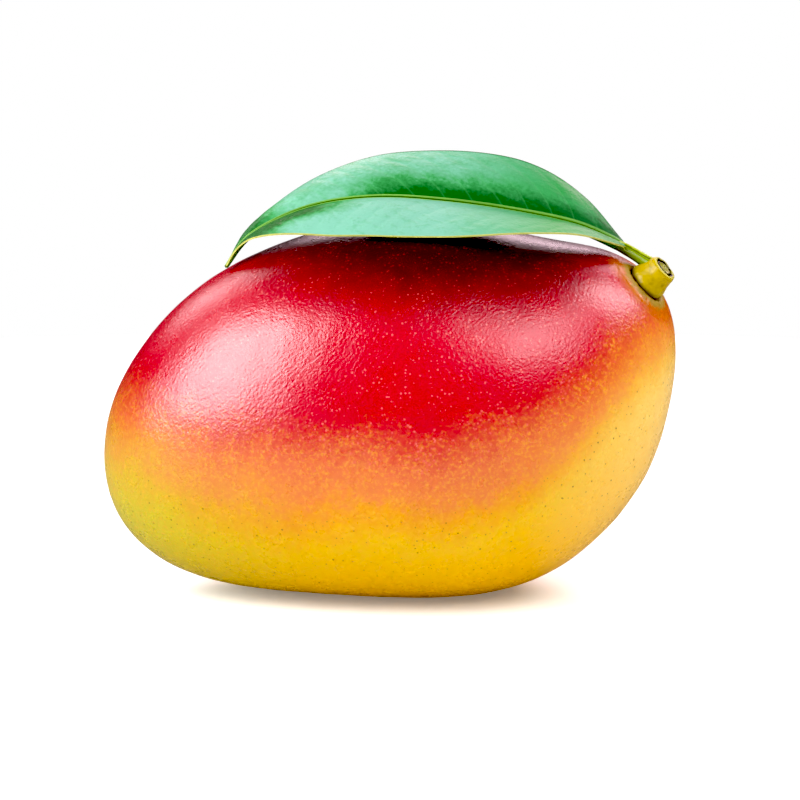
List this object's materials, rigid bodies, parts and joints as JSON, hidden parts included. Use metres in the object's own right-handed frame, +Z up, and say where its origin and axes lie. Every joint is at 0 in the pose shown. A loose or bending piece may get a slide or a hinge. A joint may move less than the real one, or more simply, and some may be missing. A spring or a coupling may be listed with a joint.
{
  "type": "mango",
  "caption": "Whole ripe mango lying on its side on a small flat spot, with a short cut stem and a leaf on its stalk arched over the top.",
  "frame": {"origin": "on the ground under the middle of the whole object's box, where the fruit rests on its flat spot", "axes": "+Z up; +X along the fruit towards its stem end; -Y towards the side that the near half of the leaf droops over"},
  "size_m": [0.1304, 0.079, 0.101],
  "materials": {
    "skin": "waxy fruit skin, crimson over the top running through orange to yellow below, with pale fine dots",
    "stem": "dull yellow-green young wood with a pale ringed cut end",
    "stalk": "satin olive-green ridged leaf stalk",
    "leaf": "leathery glossy green leaf with a pale midrib and yellow margin"
  },
  "bodies": {
    "root": {"mango_fruit": "skin", "stem_stub": "stem", "leaf_stalk": "stalk", "leaf_blade": "leaf"}
  },
  "joints": []
}
